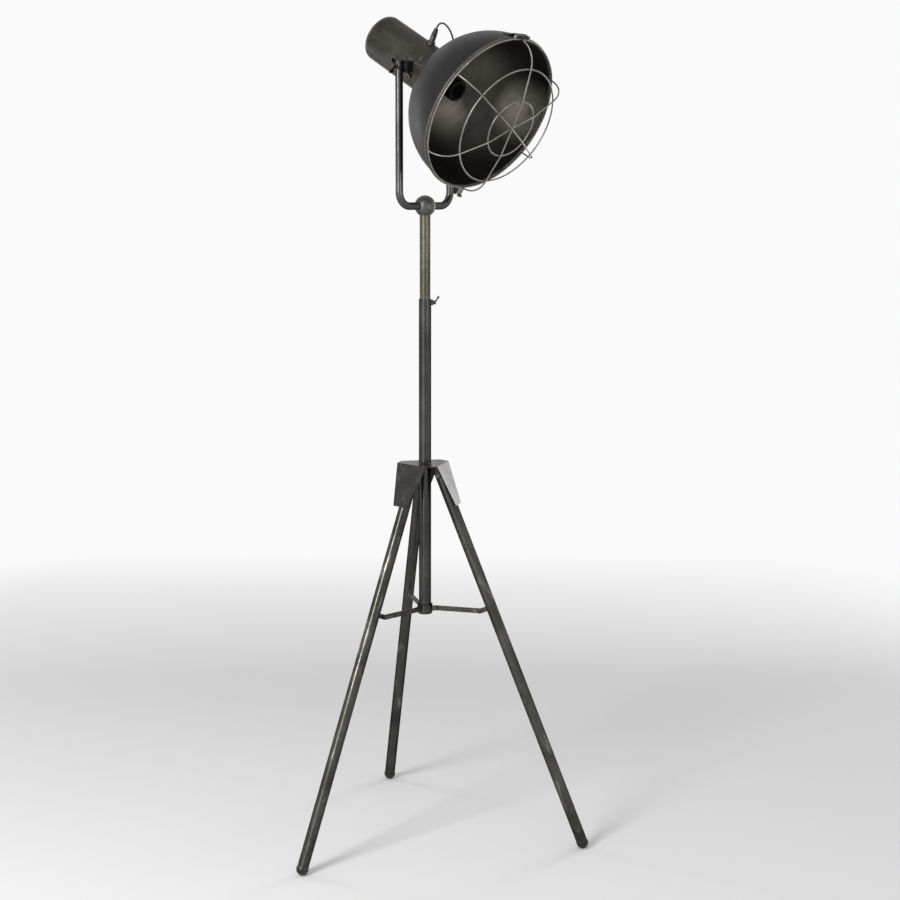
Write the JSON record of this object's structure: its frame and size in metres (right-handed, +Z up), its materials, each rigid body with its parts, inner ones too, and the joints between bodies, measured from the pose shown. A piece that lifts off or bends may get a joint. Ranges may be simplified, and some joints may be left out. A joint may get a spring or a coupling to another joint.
{
  "type": "tripod spotlight floor lamp",
  "caption": "Floor lamp with a folding tripod, a telescopic mast, a tilting spotlight dome in a yoke and a hinged wire cage.",
  "frame": {"origin": "on the floor under the mast's axis", "axes": "+Z up along the mast, the head tilts about X and faces -Y"},
  "size_m": [0.5358, 0.6032, 1.6702],
  "materials": {
    "iron": "blackened, satin",
    "worn_iron": "dark, worn",
    "bronze": "dark bronze, satin",
    "cage_wire": "dull grey",
    "steel": "plated",
    "brass": "plain",
    "bakelite": "black, glossy",
    "rubber": "black, matt"
  },
  "bodies": {
    "stand": {"hub_bracket": "iron", "lower_mast": "iron", "clamp_boss": "iron", "mast_end_plug": "rubber", "leg_hinge_bolts": "worn_iron", "leg_hinge_nuts": "worn_iron"},
    "collar": {"spreader_collar": "iron", "collar_rivets": "worn_iron"},
    "clamp_screw": {"clamp_screw": "worn_iron"},
    "upper_mast": {"upper_mast": "bronze"},
    "yoke": {"knuckle_ball": "iron", "knuckle_screw": "worn_iron", "yoke_tube": "iron", "yoke_cap": "iron", "lead_grommet": "rubber", "pivot_washers": "steel", "lead": "rubber"},
    "wing_left": {"wing_screw_left": "worn_iron"},
    "wing_right": {"wing_screw_right": "worn_iron"},
    "head": {"lamp_housing": "bronze", "pivot_blocks": "iron", "housing_end_cap": "bronze", "holder_bracket": "steel", "side_screws": "worn_iron", "reflector_dome": "iron", "reflector_screws": "worn_iron", "rim_bead": "worn_iron", "lamp_holder": "bakelite", "holder_skirt": "bakelite", "holder_nut": "brass", "screw_shell": "brass", "centre_contact": "brass", "cable_gland": "iron", "strain_relief": "rubber", "gland_nut": "steel", "cage_hinge_barrel": "iron", "dome_rivets": "worn_iron", "lock_bracket": "iron"},
    "cage": {"cage_hoop": "cage_wire", "cage_large_ring": "cage_wire", "cage_small_ring": "cage_wire", "cage_spokes": "cage_wire"},
    "lock_screw": {"lock_screw": "worn_iron"},
    "leg_1": {"leg_1": "iron", "leg_tab_1": "iron", "foot_1": "worn_iron"},
    "strip_1": {"spreader_strip_1": "iron", "strip_rivet_1": "worn_iron"},
    "leg_2": {"leg_2": "iron", "leg_tab_2": "iron", "foot_2": "worn_iron"},
    "strip_2": {"spreader_strip_2": "iron", "strip_rivet_2": "worn_iron"},
    "leg_3": {"leg_3": "iron", "leg_tab_3": "iron", "foot_3": "worn_iron"},
    "strip_3": {"spreader_strip_3": "iron", "strip_rivet_3": "worn_iron"}
  },
  "joints": [
    {"name": "leg_1_fold", "type": "hinge", "parent": "stand", "child": "leg_1", "pos_m": [0.01696, 0.02714, 0.76], "axis": [-0.848, 0.5299, 0], "range_deg": [0, 12]},
    {"name": "leg_2_fold", "type": "hinge", "parent": "stand", "child": "leg_2", "pos_m": [-0.03198, 0.00112, 0.76], "axis": [-0.0349, -0.9994, 0], "range_deg": [0, 12]},
    {"name": "leg_3_fold", "type": "hinge", "parent": "stand", "child": "leg_3", "pos_m": [0.01502, -0.02825, 0.76], "axis": [0.8829, 0.4695, 0], "range_deg": [0, 12]},
    {"name": "collar_slide", "type": "slide", "parent": "stand", "child": "collar", "axis": [0, 0, 1], "range_m": [0, 0.0769]},
    {"name": "strip_1_fold", "type": "hinge", "parent": "collar", "child": "strip_1", "pos_m": [0.01113, 0.01781, 0.481], "axis": [-0.848, 0.5299, 0], "range_deg": [0, 68.5]},
    {"name": "strip_2_fold", "type": "hinge", "parent": "collar", "child": "strip_2", "pos_m": [-0.02099, 0.00073, 0.481], "axis": [-0.0349, -0.9994, 0], "range_deg": [0, 68.5]},
    {"name": "strip_3_fold", "type": "hinge", "parent": "collar", "child": "strip_3", "pos_m": [0.00986, -0.01854, 0.481], "axis": [0.8829, 0.4695, 0], "range_deg": [0, 68.5]},
    {"name": "clamp_screw_turn", "type": "hinge", "parent": "stand", "child": "clamp_screw", "pos_m": [0, 0, 1.107], "axis": [0.6947, -0.7193, 0], "range_deg": [0, 360]},
    {"name": "mast_height", "type": "slide", "parent": "stand", "child": "upper_mast", "axis": [0, 0, 1], "range_m": [-0.15, 0.25]},
    {"name": "head_swivel", "type": "hinge", "parent": "upper_mast", "child": "yoke", "pos_m": [0, 0, 1.298], "axis": [0, 0, 1], "range_deg": [-170, 170]},
    {"name": "wing_left_turn", "type": "hinge", "parent": "yoke", "child": "wing_left", "pos_m": [-0.085, 0, 1.566], "axis": [-1, 0, 0], "range_deg": [0, 360]},
    {"name": "wing_right_turn", "type": "hinge", "parent": "yoke", "child": "wing_right", "pos_m": [0.085, 0, 1.566], "axis": [1, 0, 0], "range_deg": [0, 360]},
    {"name": "head_tilt", "type": "hinge", "parent": "yoke", "child": "head", "pos_m": [0, 0, 1.566], "axis": [1, 0, 0], "range_deg": [-90, 11], "deforming": ["lead"]},
    {"name": "cage_open", "type": "hinge", "parent": "head", "child": "cage", "pos_m": [0, -0.25083, 1.6096], "axis": [-1, 0, 0], "range_deg": [0, 100]},
    {"name": "lock_screw_turn", "type": "hinge", "parent": "cage", "child": "lock_screw", "pos_m": [0, -0.09183, 1.32038], "axis": [0, -0.8763, -0.4818], "range_deg": [0, 360]}
  ],
  "couplings": [
    {"joint": "leg_2_fold", "follows": "leg_1_fold", "ratio": 1},
    {"joint": "leg_3_fold", "follows": "leg_1_fold", "ratio": 1},
    {"joint": "collar_slide", "follows": "leg_1_fold", "m_per_rad": 0.3662},
    {"joint": "strip_1_fold", "follows": "leg_1_fold", "ratio": 5.7031},
    {"joint": "strip_2_fold", "follows": "leg_1_fold", "ratio": 5.7031},
    {"joint": "strip_3_fold", "follows": "leg_1_fold", "ratio": 5.7031}
  ]
}
